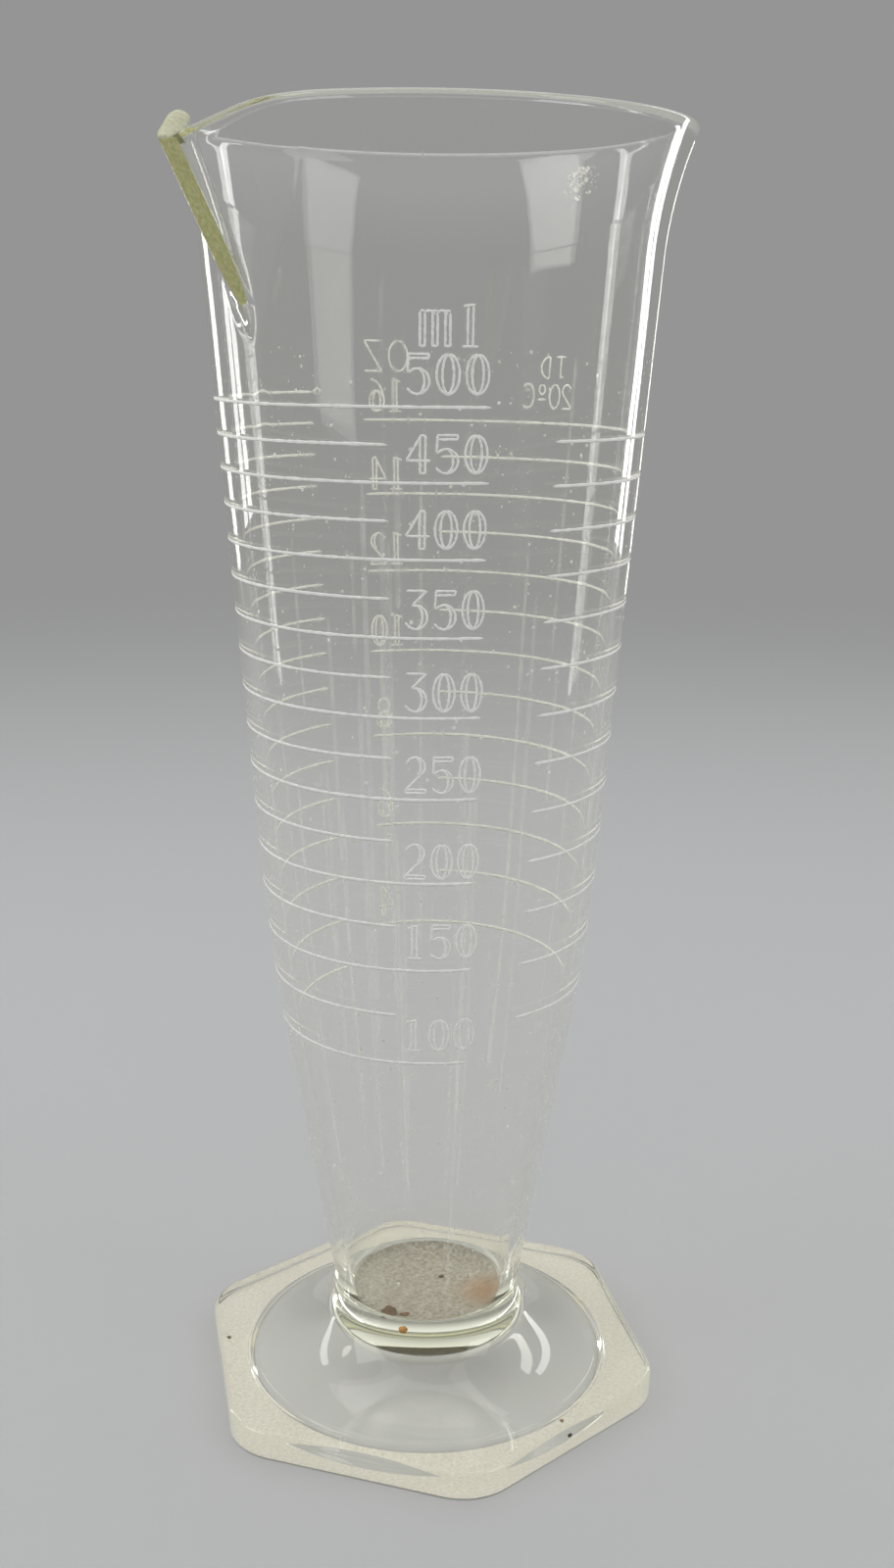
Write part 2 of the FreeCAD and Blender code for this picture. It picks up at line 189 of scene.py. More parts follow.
def blended(one, other, width):
    """The larger of two radii, rounded over where they meet: plus h squared times width / 4."""
    overlap = np.clip(1.0 - np.abs(one - other) / width, 0, 1)
    return np.maximum(one, other) + overlap ** 2 * width / 4


def spine_cut(angle, z):
    """Distance from the axis to the flat ground along the spout's spine, open at its foot: the
    angle from its middle is held under 1.2, where its distance is still finite."""
    below = np.clip(spine_start - z, 0, None)
    face = spine_tip(z) - spine_grind + below ** 2 / spine_runout
    side = np.abs(angle - math.pi)
    return face / np.cos(np.clip(side, 0, 1.2))


def unground(angle, z):
    """Radius of the outer wall with its spout, before the flat is ground along the spine."""
    return blended(outer_wall(z), spout_radius(angle, z, nose_outside), outside_crease)


def outside(angle, z):
    """Radius of the outer wall at an angle and a height."""
    return np.minimum(unground(angle, z), spine_cut(angle, z))


def inside(angle, z):
    """Radius of the inner wall at an angle and a height."""
    return blended(inner_wall(z), spout_radius(angle, z, nose_inside), inside_crease)


def hexagon_radius(angle):
    """Distance from the axis to the edge of a hexagon with round corners."""
    off = np.abs((angle + math.pi / 6) % (math.pi / 3) - math.pi / 6)
    centre = (foot_flat - foot_corner) / math.cos(math.pi / 6)
    touch = math.atan2(foot_corner * 0.5, centre + foot_corner * math.cos(math.pi / 6))
    rounded = centre * np.cos(off) + np.sqrt(
        np.clip(foot_corner ** 2 - (centre * np.sin(off)) ** 2, 0, None))
    return np.where(off < touch, rounded, foot_flat / np.cos(math.pi / 6 - off))


def lip_top(angle):
    """Height of the lip: level round the mouth, and sloping down along the spout. The slope starts
    at a distance from the axis that depends on the height, so it is worked out in 12 rounds."""
    top = np.full_like(angle, height)
    for _ in range(12):
        middle = (outside(angle, top) + inside(angle, top)) / 2
        over = -middle * np.cos(angle) - lip_cut_start
        bend = (np.clip(over + lip_cut_run, 0, 2 * lip_cut_run)) ** 2 / (4 * lip_cut_run)
        drop = np.where(over > lip_cut_run, over, bend) * lip_cut_slope
        top = height - drop
    return top


def turned(radius, angle, z):
    """Points at radii and angles round the axis and at heights, each spread to the others' shape."""
    radius, angle, z = np.broadcast_arrays(radius, angle, z)
    return np.stack([radius * np.cos(angle), radius * np.sin(angle), z], -1)


def new_object(name, points, faces, smooth=True):
    """An object with a mesh of its own, linked to the scene."""
    mesh = bpy.data.meshes.new(name)
    mesh.from_pydata(np.reshape(points, (-1, 3)).tolist(), [], faces)
    mesh.polygons.foreach_set("use_smooth", np.full(len(mesh.polygons), smooth))
    mesh.update()
    made = bpy.data.objects.new(name, mesh)
    bpy.context.scene.collection.objects.link(made)
    return made


def closed_surface(name, grid, first, last):
    """An object from a grid of points, rows that go round, closed by a point at either end."""
    rows, columns = grid.shape[:2]
    points = np.vstack([grid.reshape(-1, 3), [first], [last]])
    column = np.arange(columns)
    after = (column + 1) % columns
    row = np.arange(rows - 1)[:, None] * columns
    quads = np.stack([row + column, row + after, row + columns + after, row + columns + column], 2)
    start = np.stack([np.full(columns, rows * columns), after, column], 1)
    last_row = (rows - 1) * columns
    end = np.stack([np.full(columns, rows * columns + 1), last_row + column, last_row + after], 1)
    return new_object(name, points, quads.reshape(-1, 4).tolist() + start.tolist() + end.tolist())


# where the neck's bend meets the lower cone
ring_centre_z = plate_height + flare_bend - math.sqrt(
    (flare_bend - neck_ring_bend) ** 2 - (flare_foot - neck_radius - neck_ring_bend) ** 2)
to_bend = (neck_radius + neck_bend - knee[0], ring_centre_z - knee[1])
to_bend_angle = math.atan2(to_bend[1], to_bend[0]) - math.asin(neck_bend / math.hypot(*to_bend))
cone_run = math.sqrt(math.hypot(*to_bend) ** 2 - neck_bend ** 2)
neck_tangent = (knee[0] + cone_run * math.cos(to_bend_angle),
                knee[1] + cone_run * math.sin(to_bend_angle))

angle = column_angles()
hexagon = hexagon_radius(angle)


def all_round(points):
    """Rows (r, z) of a turned shape, the same at every angle."""
    points = np.asarray(points)
    return (np.repeat(points[:, :1], len(angle), 1), np.repeat(points[:, 1:], len(angle), 1))


def with_hexagon(inset, z):
    """Rows that follow the hexagon's edge, each an inset from it and a height."""
    inset = np.asarray(inset)[:, None]
    return hexagon - inset, np.repeat(np.asarray(z)[:, None], len(angle), 1)


# the crown and the bow of the hollow
crown_run = np.linspace(0.15, 0.95, 6)
crown = np.stack([crown_run * hollow_shoulder[0],
                  hollow_top - (hollow_top - hollow_shoulder[1]) * crown_run ** 2], 1)
hollow = bowed(hollow_shoulder, hollow_lip, hollow_bend, 12)

# the plate, from the ring it rests on to the flare
quarter = np.linspace(0, math.pi / 2, 6)
ring_share = np.linspace(0, 1, 6)[1:, None]
ring_rows = (ring_inner + (hexagon - rest_edge - ring_inner) * ring_share,
             np.full((5, len(angle)), rest_gap))
low_edge = with_hexagon(rest_edge * (1 - np.sin(quarter)),
                        rest_gap + rest_edge * (1 - np.cos(quarter)))
top_edge = with_hexagon(plate_edge * (1 - np.cos(quarter)),
                        plate_height - plate_edge * (1 - np.sin(quarter)))
top_share = np.linspace(0, 1, 6)[1:-1, None]
top_rows = (hexagon - plate_edge + (flare_foot - hexagon + plate_edge) * top_share,
            np.full((4, len(angle)), plate_height))

# the flare, the neck and the plain part of the outer wall
flare_centre = (flare_foot, plate_height + flare_bend)
ring_centre = (neck_radius + neck_ring_bend, ring_centre_z)
meet = math.atan2(ring_centre[1] - flare_centre[1], ring_centre[0] - flare_centre[0])
flare = arc(flare_centre, flare_bend, -math.pi / 2, meet, 14)
neck_ring = arc(ring_centre, neck_ring_bend, meet, -math.pi, 10)[1:]
neck_end = math.atan2(neck_tangent[1] - ring_centre_z, neck_tangent[0] - neck_radius - neck_bend)
neck = arc((neck_radius + neck_bend, ring_centre_z), neck_bend, math.pi, neck_end, 5)[1:-1]
plain_z = np.concatenate([np.linspace(neck_tangent[1], below_knee, 6), knee_rows,
                          np.linspace(above_knee, spout_start, 6)])
plain = np.stack([outer_wall(plain_z), plain_z], 1)

# the wall and the lip round the mouth, with the spout
top = lip_top(angle)
lip_foot = top - rim_round
outer_z = spout_start + (lip_foot - spout_start) * np.linspace(0, 1, 56)[1:, None]
outer_rows = (outside(angle, outer_z), outer_z)
lip_turn = np.linspace(0, math.pi, 15)[1:-1, None]
lip_z = lip_foot + rim_round * np.sin(lip_turn)
outer_at = outside(angle, lip_z)
inner_at = inside(angle, lip_z)
lip_rows = ((outer_at + inner_at) / 2 + (outer_at - inner_at) / 2 * np.cos(lip_turn), lip_z)
inner_z = lip_foot + (spout_start - lip_foot) * np.linspace(0, 1, 50)[:, None]
inner_rows = (inside(angle, inner_z), inner_z)

# the plain part of the inner wall, the corner and the floor of the cup
inner_plain_z = np.concatenate([np.linspace(spout_start, above_knee, 6)[1:], knee_rows[::-1],
                                np.linspace(below_knee, above_corner, 6)])
inner_plain = np.stack([inner_wall(inner_plain_z), inner_plain_z], 1)
corner_lean = math.atan((inner_knee[0] - floor_radius) / (inner_knee[1] - floor_height))
corner_r = floor_radius + floor_corner * (math.tan(corner_lean) - 1 / math.cos(corner_lean))
corner_centre = (corner_r, floor_height + floor_corner)
floor_round = arc(corner_centre, floor_corner, -corner_lean, -math.pi / 2, 8)
floor_rows = np.stack([np.linspace(corner_r, floor_middle, 5)[1:], np.full(4, floor_height)], 1)

parts = [all_round(crown), all_round(hollow), all_round(ring_round), ring_rows, low_edge, top_edge,
         top_rows, all_round(flare), all_round(neck_ring), all_round(neck), all_round(plain),
         outer_rows, lip_rows, inner_rows, all_round(inner_plain), all_round(floor_round),
         all_round(floor_rows)]
glass_grid = turned(np.vstack([radius for radius, _ in parts]), angle, np.vstack([z for _, z in parts]))
glass = closed_surface("glass_body", glass_grid, (0, 0, hollow_top), (0, 0, floor_height))


def add_node(tree, kind, inputs=(), **settings):
    """A node with its own settings; each of its inputs gets a value or a link from a socket."""
    made = tree.nodes.new(kind)
    for name, value in settings.items():
        setattr(made, name, value)
    for name, value in dict(inputs).items():
        if isinstance(value, bpy.types.NodeSocket):
            tree.links.new(value, made.inputs[name])
        else:
            made.inputs[name].default_value = value
    return made


def new_material(name):
    """A material with nothing in it but its output and a socket with the place on the object."""
    made = bpy.data.materials.new(name)
    made.use_nodes = True
    tree = made.node_tree
    tree.nodes.clear()
    out = tree.nodes.new("ShaderNodeOutputMaterial")
    return made, tree, out, add_node(tree, "ShaderNodeTexCoord").outputs["Object"]


def maths(tree, operation, one, other):
    """The result of one operation on two values or sockets."""
    return add_node(tree, "ShaderNodeMath", {0: one, 1: other}, operation=operation).outputs[0]


grit = bpy.data.node_groups.new("grit", "ShaderNodeTree")
for socket, kind in (("Vector", "NodeSocketVector"), ("Scale", "NodeSocketFloat"),
                     ("Low", "NodeSocketFloat"), ("High", "NodeSocketFloat")):
    grit.interface.new_socket(socket, in_out="INPUT", socket_type=kind)
grit.interface.new_socket("Mask", in_out="OUTPUT", socket_type="NodeSocketFloat")
grit_in = grit.nodes.new("NodeGroupInput")
grit_noise = add_node(grit, "ShaderNodeTexNoise", {
    "Vector": grit_in.outputs["Vector"], "Scale": grit_in.outputs["Scale"],
    "Detail": 5.0, "Roughness": 0.6})
grit_range = add_node(grit, "ShaderNodeMapRange", {
    "Value": grit_noise.outputs["Fac"], "From Min": grit_in.outputs["Low"],
    "From Max": grit_in.outputs["High"]})
add_node(grit, "NodeGroupOutput", {"Mask": grit_range.outputs["Result"]})


def grit_mask(tree, vector, scale, low, high):
    """The grit group's mask: 0 below low and 1 above high of a fine noise."""
    return add_node(tree, "ShaderNodeGroup", {"Vector": vector, "Scale": scale, "Low": low, "High": high},
                    node_tree=grit).outputs["Mask"]


def clear_glass():
    """Glass with faint hazy streaks down the wall and a slight swell. Shadow rays, and light that
    has been thrown about inside the wall too often to get out, go straight through it."""
    made, tree, out, place = new_material("clear_glass")
    apart = add_node(tree, "ShaderNodeSeparateXYZ", {0: place})
    level = add_node(tree, "ShaderNodeCombineXYZ", {"X": apart.outputs["X"], "Y": apart.outputs["Y"]})
    round_wall = add_node(tree, "ShaderNodeVectorMath", {0: level.outputs[0]}, operation="NORMALIZE")
    slow_z = maths(tree, "MULTIPLY", apart.outputs["Z"], 1.5)
    up_wall = add_node(tree, "ShaderNodeCombineXYZ", {"Z": slow_z})
    down_wall = add_node(tree, "ShaderNodeVectorMath", {0: round_wall.outputs[0], 1: up_wall.outputs[0]},
                         operation="ADD")
    streaks = grit_mask(tree, down_wall.outputs[0], 50.0, 0.48, 0.8)
    wave = add_node(tree, "ShaderNodeTexNoise", {"Vector": place, "Scale": 28.0, "Detail": 1.0})
    swell = add_node(tree, "ShaderNodeBump", {
        "Strength": 0.25, "Distance": 0.0004, "Height": wave.outputs["Fac"]})
    shine = add_node(tree, "ShaderNodeBsdfPrincipled", {
        "Base Color": (0.996, 0.996, 0.99, 1), "Roughness": maths(tree, "MULTIPLY", streaks, 0.14),
        "IOR": 1.47, "Transmission Weight": 1.0, "Normal": swell.outputs["Normal"]})
    lamp_light = add_node(tree, "ShaderNodeBsdfTransparent", {"Color": (0.95, 0.95, 0.93, 1)})
    ray = add_node(tree, "ShaderNodeLightPath")
    trapped = maths(tree, "GREATER_THAN", ray.outputs["Glossy Depth"], 2.5)
    straight_on = maths(tree, "MAXIMUM", ray.outputs["Is Shadow Ray"], trapped)
    mixed = add_node(tree, "ShaderNodeMixShader", {
        0: straight_on, 1: shine.outputs[0], 2: lamp_light.outputs[0]})
    tint = add_node(tree, "ShaderNodeVolumeAbsorption", {"Color": (0.88, 0.895, 0.35, 1), "Density": 8.0})
    tree.links.new(mixed.outputs[0], out.inputs["Surface"])
    tree.links.new(tint.outputs[0], out.inputs["Volume"])
    return made


glass.data.materials.append(clear_glass())
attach(glass, "root")
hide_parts("graduate")


# The ground places: the ring that the foot stands on, the flat along the spout's spine and the
# spout's lip were ground on a wheel. They are matt: cream below, yellow-green along the spine and
# grey on the lip.
ground_depth = 0.00003


def thin_skin(name, grid, normal, depth, wrap, material):
    """A thin closed skin on a grid of points: one face a depth out along the normals, the other
    as far in, joined at the borders. With wrap the last row meets the first."""
    rows, columns = grid.shape[:2]
    points = np.stack([grid + normal * depth, grid - normal * depth])
    row = np.arange(rows if wrap else rows - 1)[:, None]
    here, there = row * columns, (row + 1) % rows * columns
    column = np.arange(columns - 1)
    over = np.stack([here + column, here + column + 1, there + column + 1, there + column], 2)
    under = over[:, :, ::-1] + rows * columns
    faces = [over.reshape(-1, 4), under.reshape(-1, 4)]
    for edge in (0, columns - 1):
        a, b = (here + edge).ravel(), (there + edge).ravel()
        side = np.stack([a, b, b + rows * columns, a + rows * columns], 1)
        faces.append(side if edge == 0 else side[:, ::-1])
    if not wrap:
        for edge in (0, (rows - 1) * columns):
            a, b = edge + column, edge + column + 1
            side = np.stack([a, b, b + rows * columns, a + rows * columns], 1)
            faces.append(side[:, ::-1] if edge == 0 else side)
    piece = new_object(name, points, np.concatenate(faces).tolist(), smooth=False)
    shape = bmesh.new()
    shape.from_mesh(piece.data)
    bmesh.ops.recalc_face_normals(shape, faces=shape.faces)
    shape.to_mesh(piece.data)
    shape.free()
    piece.data.materials.append(material)
    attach(piece, "root")


def two_colours(tree, mask, one, other):
    """A colour that runs from one to the other with a mask."""
    return add_node(tree, "ShaderNodeMix", {"Factor": mask, "A": (*one, 1), "B": (*other, 1)},
                    data_type="RGBA").outputs["Result"]


def matt_material(name, patches, one, other, roughness, cover=None, grain=None):
    """A matt surface that runs from one colour to the other in patches, given as a noise's scale,
    low and high. Its alpha runs with them between the two values of cover. Its grain is the scale
    of a finer noise and the strength and height of the bumps that it makes."""
    made, tree, out, place = new_material(name)
    mask = grit_mask(tree, place, *patches)
    matt = add_node(tree, "ShaderNodeBsdfPrincipled", {
        "Base Color": two_colours(tree, mask, one, other), "Roughness": roughness})
    if cover:
        seen = add_node(tree, "ShaderNodeMapRange", {"Value": mask, "To Min": cover[0], "To Max": cover[1]})
        tree.links.new(seen.outputs["Result"], matt.inputs["Alpha"])
    if grain:
        scale, strength, bump_height = grain
        rough = add_node(tree, "ShaderNodeBump", {
            "Strength": strength, "Distance": bump_height, "Height": grit_mask(tree, place, scale, 0.3, 0.7)})
        tree.links.new(rough.outputs["Normal"], matt.inputs["Normal"])
    tree.links.new(matt.outputs[0], out.inputs["Surface"])
    return made


def ground_glass(name, dark, light):
    """Ground glass: matt, with a little of what is behind it showing through."""
    return matt_material(name, (1400.0, 0.3, 0.7), dark, light, 0.75, (0.88, 1.0), (5000.0, 0.4, 0.00005))


# the ring under the foot
skin_share = np.linspace(0.003, 0.995, 7)
ring_radius = ring_inner + (hexagon[:, None] - rest_edge - ring_inner) * skin_share
cream_ground = ground_glass("cream_ground", (0.56, 0.535, 0.48), (0.66, 0.635, 0.58))
thin_skin("ground_ring", turned(ring_radius, angle[:, None], ground_depth), np.array([0.0, 0.0, 1.0]),
          ground_depth, True, cream_ground)

# the flat along the spine, as wide as the grinding cuts into the trough, and pointed at its foot
probe_reach = 6.0
probe_steps = 240
point_length = 0.009
least_cut = 0.00001
strip_low = spine_start - 0.0012
strip_high = lip_top(np.array([math.pi]))[0] - rim_round + 0.0004
strip_z = np.linspace(strip_low, strip_high, 100)[:, None]
probe = math.pi + np.radians(np.linspace(0, probe_reach, probe_steps + 1))
ground_wide = (unground(probe, strip_z) > spine_cut(probe, strip_z) + least_cut).sum(1)
strip_z = strip_z[ground_wide > 2]
pointed = np.clip((strip_z - strip_z[0] + 0.0002) / point_length, 0, 1)
strip_half = np.radians(probe_reach / probe_steps * ground_wide[ground_wide > 2])[:, None]
strip_half = strip_half * np.sqrt(pointed * (2 - pointed))
strip_angle = math.pi + strip_half * np.linspace(-1, 1, 11)
strip_grid = turned(spine_cut(strip_angle, strip_z), strip_angle, strip_z)
strip_out = np.array([-math.cos(spout_lean), 0.0, -math.sin(spout_lean)])
green_ground = ground_glass("green_ground", (0.42, 0.42, 0.16), (0.6, 0.59, 0.29))
thin_skin("ground_spine", strip_grid, strip_out, ground_depth, False, green_ground)

# the lip at the tip of the spout, over its round from the outside to the inside
tip_from = -15.0
tip_to = 1.6
tip_angle = math.pi + np.radians(np.linspace(tip_from, tip_to, 90))
tip_turn = np.linspace(0.05, math.pi - 0.05, 17)[:, None]
tip_z = lip_top(tip_angle) - rim_round + rim_round * np.sin(tip_turn)
tip_middle = (outside(tip_angle, tip_z) + inside(tip_angle, tip_z)) / 2
tip_half = (outside(tip_angle, tip_z) - inside(tip_angle, tip_z)) / 2
tip_grid = turned(tip_middle + tip_half * np.cos(tip_turn), tip_angle, tip_z)
tip_normal = turned(np.cos(tip_turn), tip_angle, np.sin(tip_turn))
grey_ground = ground_glass("grey_ground", (0.4, 0.4, 0.25), (0.56, 0.56, 0.4))
thin_skin("ground_lip", tip_grid, tip_normal, ground_depth, False, grey_ground)


# The metric scale: lines cut through a wax coat and etched white into the outer wall by hand.
# Each stands where the cup holds its volume, and every second one is long, up to its numeral.
line_width = 0.00055
line_proud = 0.00004
line_sunk = 0.00006
line_points = 110
line_waver = 0.00001
waver_window = 9
end_taper = 0.4
uneven_width = 0.12
metric_rear = math.radians(88.1)
metric_long_front = math.radians(242.8)
metric_short_front = math.radians(218.0)
knob_drop = 0.0005
chance = np.random.default_rng(7)

cup_z = np.linspace(floor_height, height, 4000)
cup_area = math.pi * inner_wall(cup_z) ** 2
cup_volume = np.concatenate([[0.0], np.cumsum((cup_area[1:] + cup_area[:-1]) / 2 * np.diff(cup_z))])


def filled_to(millilitres):
    """Height to which a volume fills the cup."""
    return float(np.interp(millilitres * 1e-6, cup_volume, cup_z))


def etched(name, runs, width, material):
    """Closed strokes on the outer wall. Each run is a row of angles and heights; a stroke's
    section is a flat ellipse, width wide along the wall, that stands a little proud of it."""
    around = np.linspace(0, 2 * math.pi, 7)[:-1]
    rise = np.sin(around) * np.where(np.sin(around) > 0, line_proud, line_sunk)
    side = np.arange(len(around))
    after = (side + 1) % len(side)
    points, faces, count = [], [], 0
    for run_angle, run_z in runs:
        run_radius = outer_wall(run_z)
        flat = np.stack([run_angle * run_radius, run_z], 1)
        step = np.gradient(flat, axis=0)
        step /= np.hypot(step[:, 0], step[:, 1])[:, None] + 1e-12
        ends = np.ones(len(run_z))
        ends[[0, -1]] = end_taper
        half = width / 2 * ends * (1 + uneven_width * chance.normal(0, 1, len(run_z)))
        off = half[:, None] * np.cos(around)
        stroke_z = flat[:, 1:] + step[:, :1] * off
        stroke_angle = (flat[:, :1] - step[:, 1:] * off) / run_radius[:, None]
        stroke_radius = outer_wall(stroke_z) + rise * ends[:, None]
        points.append(turned(stroke_radius, stroke_angle, stroke_z).reshape(-1, 3))
        here = count + np.arange(len(run_z) - 1)[:, None] * len(side)
        there = here + len(side)
        faces += np.stack([here + side, here + after, there + after, there + side],
                          2).reshape(-1, 4).tolist()
        faces.append((count + side[::-1]).tolist())
        count += len(run_z) * len(side)
        faces.append((count - len(side) + side).tolist())
    piece = new_object(name, np.vstack(points), faces)
    piece.data.materials.append(material)
    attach(piece, "root")


def scale_line(start, end, z):
    """A level run round the wall with the slight waver of a hand-held tool."""
    waver = np.cumsum(chance.normal(0, 1, line_points))
    waver -= np.linspace(waver[0], waver[-1], line_points)
    waver = np.convolve(waver, np.ones(waver_window) / waver_window, "same")
    return np.linspace(start, end, line_points), z + line_waver * waver


etched_white = matt_material("etched_white", (900.0, 0.3, 0.65), (0.82, 0.815, 0.77), (0.97, 0.97, 0.94),
                             0.85, grain=(6000.0, 0.5, 0.00004))
metric_runs = []
for volume in range(100, 501, 25):
    front = metric_long_front if volume % 50 == 0 else metric_short_front
    metric_runs.append(scale_line(metric_rear, front, filled_to(volume)))
    knob = front - math.radians(chance.uniform(6.0, 8.0))
    if volume % 50 == 0:
        metric_runs.append((np.full(4, knob), filled_to(volume) - np.linspace(0.0, knob_drop, 4)))

# the hook where the tool slipped at the end of the top line
slip_angle = metric_rear - np.radians([0.0, 1.2, 2.0, 2.6, 2.2])
slip_rise = np.array([0.0, 0.0003, 0.0007, 0.0003, -0.0004])
metric_runs.append((slip_angle, filled_to(500) + slip_rise))
etched("scale_metric", metric_runs, line_width, etched_white)


# The ounce scale: thirteen lines on the other side of the glass, etched in the same way. The even
# ones start at their numerals, at the back, and the odd ones a little further round. The ounce is
# the American one, with a small factor that fits the lines in the photo.
american_ounce = 29.574
ounce_fit = 1.008
ounce_front = math.radians(260.5)
ounce_even_rear = math.radians(430.4)
ounce_odd_rear = math.radians(405.5)
ounce_runs = []
for ounces in range(4, 17):
    rear = ounce_even_rear if ounces % 2 == 0 else ounce_odd_rear
    ounce_runs.append(scale_line(ounce_front, rear, filled_to(ounces * (american_ounce * ounce_fit))))
etched("scale_ounces", ounce_runs, line_width, etched_white)


# The numerals: plain upright figures with a doubled stroke, about 6 mm tall, etched by hand just
# above their lines, those of the ounces at the back.
figure_stroke = 0.00042
figure_width = 0.6
figure_step = 0.0003
hand_shake = 0.000015


def bow(x, y, across, tall, start, end):
    """Points on part of an ellipse, from one angle to another in degrees."""
    turn = np.radians(np.linspace(start, end, max(6, int(abs(end - start) / 12))))
    return np.stack([x + across * np.cos(turn), y + tall * np.sin(turn)], 1)


# each figure's strokes in a frame about 0.6 wide and 1 tall, the first of them its single line
figures = {
    "0": [bow(0.3, 0.5, 0.3, 0.5, 90, 450), bow(0.3, 0.5, 0.15, 0.48, 90, 450)],
    "1": [[(0.07, 0.9), (0.24, 0.96), (0.42, 1.0)], [(0.23, 0.95), (0.23, 0.01)],
          [(0.37, 0.98), (0.37, 0.01)], [(0.06, 0.0), (0.54, 0.0)]],
    "2": [np.vstack([bow(0.3, 0.74, 0.27, 0.26, 165, -38), [(0.03, 0.1), (0.0, 0.0), (0.6, 0.0)]]),
          np.vstack([bow(0.3, 0.74, 0.15, 0.25, 75, -35), [(0.36, 0.5)]]),
          [(0.03, 0.1), (0.58, 0.1), (0.6, 0.0)]],
    "3": [np.vstack([[(0.02, 1.0), (0.57, 1.0), (0.18, 0.62)], bow(0.28, 0.31, 0.31, 0.31, 105, -155)]),
          bow(0.28, 0.31, 0.18, 0.3, 80, -80)],
    "4": [[(0.4, 1.0), (0.0, 0.33), (0.64, 0.33)],
          [(0.36, 0.94), (0.36, 0.0), (0.5, 0.0), (0.5, 0.98), (0.4, 1.0), (0.36, 0.94)]],
    "5": [[(0.06, 0.89), (0.56, 0.89), (0.58, 1.0), (0.05, 1.0), (0.02, 0.53)],
          bow(0.28, 0.32, 0.31, 0.32, 142, -150), bow(0.28, 0.32, 0.18, 0.31, 80, -80)],
    "6": [bow(0.3, 0.32, 0.28, 0.32, 0, 360), bow(0.58, 0.33, 0.56, 0.67, 180, 96),
          bow(0.3, 0.32, 0.14, 0.3, 0, 360)],
    "8": [bow(0.3, 0.76, 0.22, 0.24, 0, 360), bow(0.3, 0.27, 0.29, 0.27, 0, 360),
          bow(0.3, 0.27, 0.15, 0.26, 0, 360)],
    "m": [[(0.0, 0.84), (0.0, 0.0), (0.13, 0.0), (0.13, 0.8)], bow(0.24, 0.7, 0.17, 0.16, 150, 20),
          [(0.33, 0.84), (0.33, 0.0), (0.46, 0.0), (0.46, 0.8)], bow(0.57, 0.7, 0.17, 0.16, 150, 20),
          [(0.66, 0.84), (0.66, 0.0), (0.79, 0.0), (0.79, 0.8)],
          bow(0.065, 0.8, 0.065, 0.07, 180, 0), bow(0.395, 0.8, 0.065, 0.07, 180, 0),
          bow(0.725, 0.8, 0.065, 0.07, 180, 0)],
    "l": [[(0.1, 0.97), (0.25, 1.0), (0.42, 1.02)], [(0.23, 0.98), (0.23, 0.01)],
          [(0.37, 1.0), (0.37, 0.01)], [(0.08, 0.0), (0.52, 0.0)]],
    "O": [bow(0.36, 0.5, 0.36, 0.5, 90, 450)],
    "Z": [[(0.04, 1.0), (0.66, 1.0), (0.0, 0.0), (0.68, 0.0)]],
    "T": [[(0.0, 1.0), (0.64, 1.0)], [(0.32, 1.0), (0.32, 0.0)]],
    "D": [[(0.06, 0.0), (0.06, 1.0)], bow(0.06, 0.5, 0.5, 0.5, 90, -90)],
    "C": [bow(0.34, 0.5, 0.32, 0.5, 50, 310)],
    "o": [bow(0.3, 0.78, 0.17, 0.2, 90, 450), [(0.06, 0.36), (0.54, 0.36)]],
}


def lettered(text, middle, foot, tall, wide, pitch, doubled=True):
    """Runs for a row of figures on the wall: middle is its middle's angle in degrees, foot its
    lowest height, tall its height, wide the scale across, and pitch the step between figures."""
    runs = []
    begin = -((len(text) - 1) * pitch + figure_width * wide) / 2
    for index, figure in enumerate(text):
        for stroke in figures[figure] if doubled or figure == "o" else figures[figure][:1]:
            stroke = np.asarray(stroke, dtype=float) * (wide, tall)
            length = np.concatenate([[0], np.cumsum(np.hypot(*np.diff(stroke, axis=0).T))])
            count = max(4, int(length[-1] / figure_step))
            along_stroke = np.linspace(0, length[-1], count)
            x = np.interp(along_stroke, length, stroke[:, 0]) + chance.normal(0, hand_shake, count)
            z = foot + np.interp(along_stroke, length, stroke[:, 1]) + chance.normal(0, hand_shake, count)
            runs.append((math.radians(middle) + (x + begin + index * pitch) / outer_wall(z), z))
    return runs


# the foot of each metric numeral and its height in millimetres
metric_middle = 232.4
metric_wide = 0.0062
metric_pitch = 0.0048
metric_places = {500: (206.6, 6.1), 450: (194.3, 6.0), 400: (182.1, 6.2), 350: (168.6, 6.5),
                 300: (154.2, 6.7), 250: (139.4, 6.6), 200: (123.1, 6.6), 150: (107.3, 6.7),
                 100: (87.8, 6.6)}
metric_figures = []
for volume, (foot, tall) in metric_places.items():
    metric_figures += lettered(str(volume), metric_middle, foot / 1000, tall / 1000,
                               metric_wide, metric_pitch)
etched("figures_metric", metric_figures, figure_stroke, etched_white)

# the foot of each ounce numeral in millimetres and the angle of its middle in degrees
ounce_tall = 0.0063
ounce_wide = 0.0058
ounce_pitch = 0.0040
ounce_places = {16: (200.8, 63.0), 14: (185.5, 63.0), 12: (170.4, 63.4), 10: (153.6, 63.6),
                8: (136.1, 65.8), 6: (116.6, 66.1), 4: (94.8, 67.0)}
ounce_figures = []
for ounces, (foot, middle) in ounce_places.items():
    ounce_figures += lettered(str(ounces), middle, foot / 1000, ounce_tall, ounce_wide, ounce_pitch)
etched("figures_ounces", ounce_figures, figure_stroke, etched_white)


